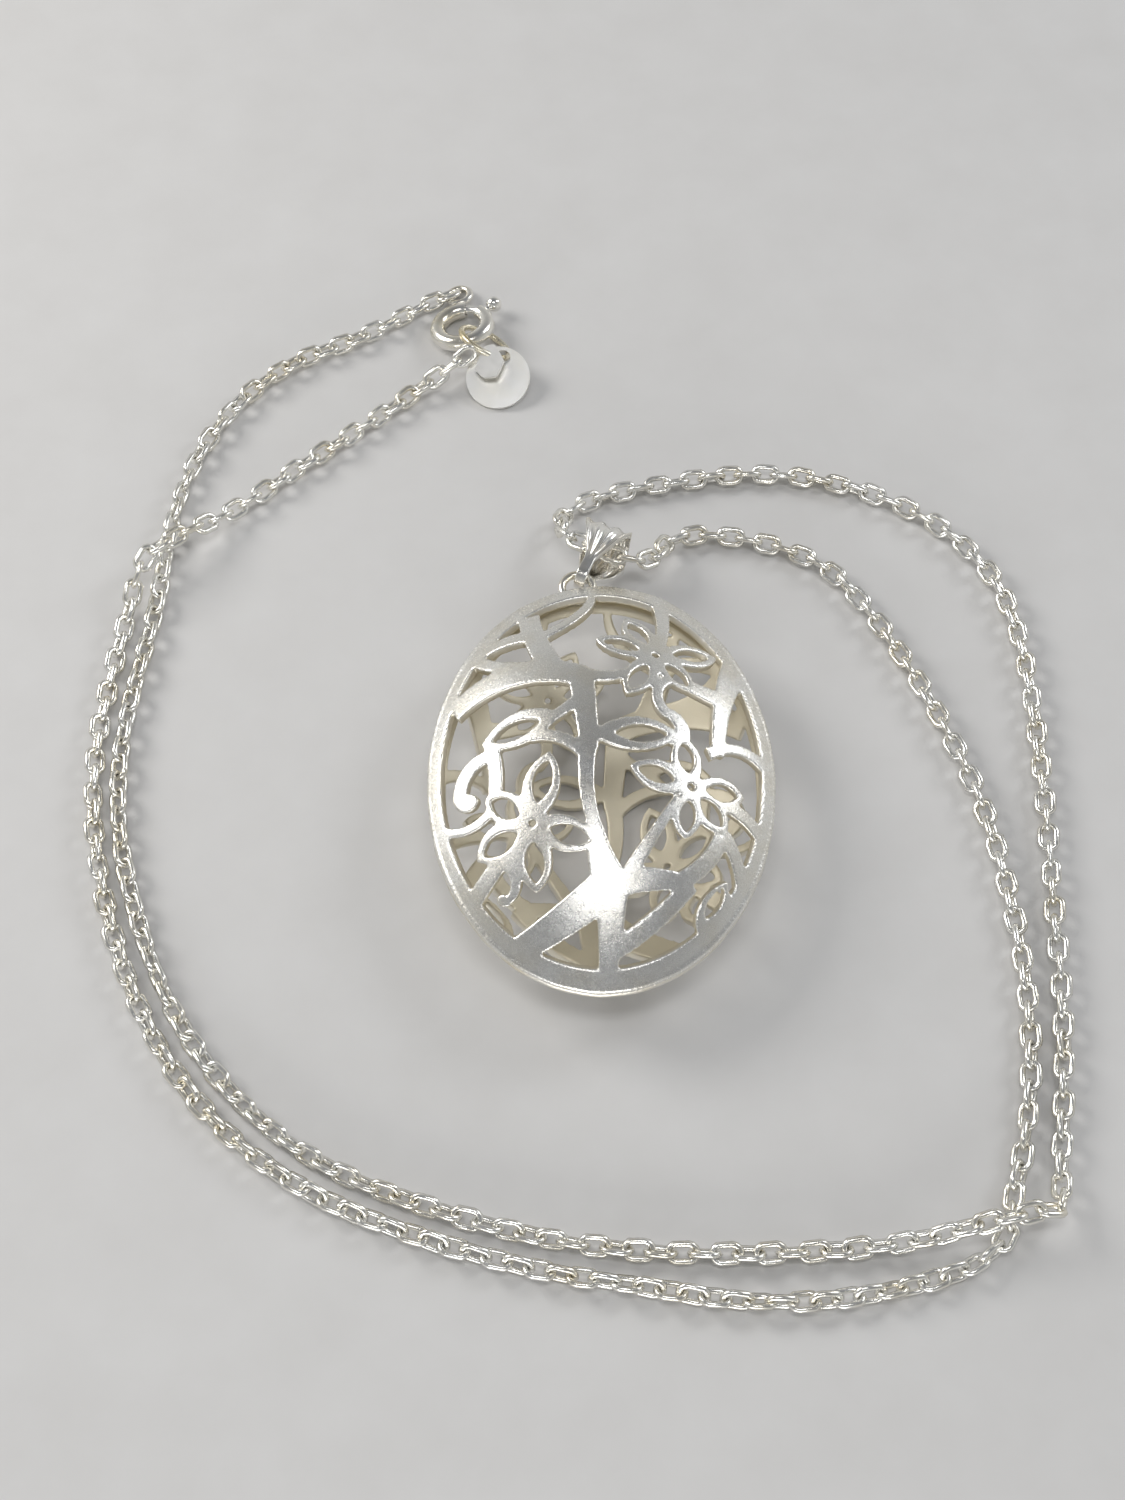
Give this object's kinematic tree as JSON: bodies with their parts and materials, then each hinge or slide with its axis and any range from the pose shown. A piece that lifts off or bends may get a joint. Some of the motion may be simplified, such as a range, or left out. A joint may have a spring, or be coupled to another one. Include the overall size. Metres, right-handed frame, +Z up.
{
  "type": "pendant necklace",
  "caption": "Openwork puffed oval pendant hung by a fluted bail on a cable chain with a spring ring clasp and blank end tags",
  "frame": {"origin": "centre of the footprint of the pendant, its eye and bail, at the height of the table", "axes": "+Y from the pendant up to its bail, +Z up from the table through the front dome, +X to the right"},
  "size_m": [0.0707, 0.0853, 0.0098],
  "materials": {
    "dome_silver": "polished silver",
    "back_silver": "satin silver",
    "finding_silver": "polished silver wire",
    "bail_silver": "polished silver",
    "chain_silver": "polished silver wire",
    "clasp_silver": "polished silver",
    "spring_steel": "spring wire",
    "tag_silver": "polished silver sheet"
  },
  "bodies": {
    "necklace": {"chain": "chain_silver", "bail": "bail_silver", "clasp_body": "clasp_silver", "clasp_eye": "clasp_silver", "clasp_spring": "spring_steel", "end_ring": "finding_silver", "lozenge_tag": "tag_silver"},
    "pendant": {"front_dome": "dome_silver", "back_dome": "back_silver", "pendant_eye": "finding_silver"},
    "trigger": {"clasp_trigger": "clasp_silver"},
    "tag": {"round_tag": "tag_silver"}
  },
  "joints": [
    {"name": "pendant_swing", "type": "hinge", "parent": "necklace", "child": "pendant", "pos_m": [-0.00115, 0.01381, 0.0049], "axis": [-0.9135, 0.4067, 0], "range_deg": [-80, 120]},
    {"name": "clasp_trigger", "type": "hinge", "parent": "necklace", "child": "trigger", "pos_m": [-0.01095, 0.04065, 0.00117], "axis": [0.1592, -0.1707, -0.9724], "range_deg": [0, 36], "stiffness_Nm_per_rad": 0.002, "springref_deg": -17.19},
    {"name": "tag_swing", "type": "hinge", "parent": "necklace", "child": "tag", "pos_m": [-0.00754, 0.03699, 0.00165], "axis": [-0.0866, -0.336, 0.9379], "range_deg": [-30, 40]}
  ]
}
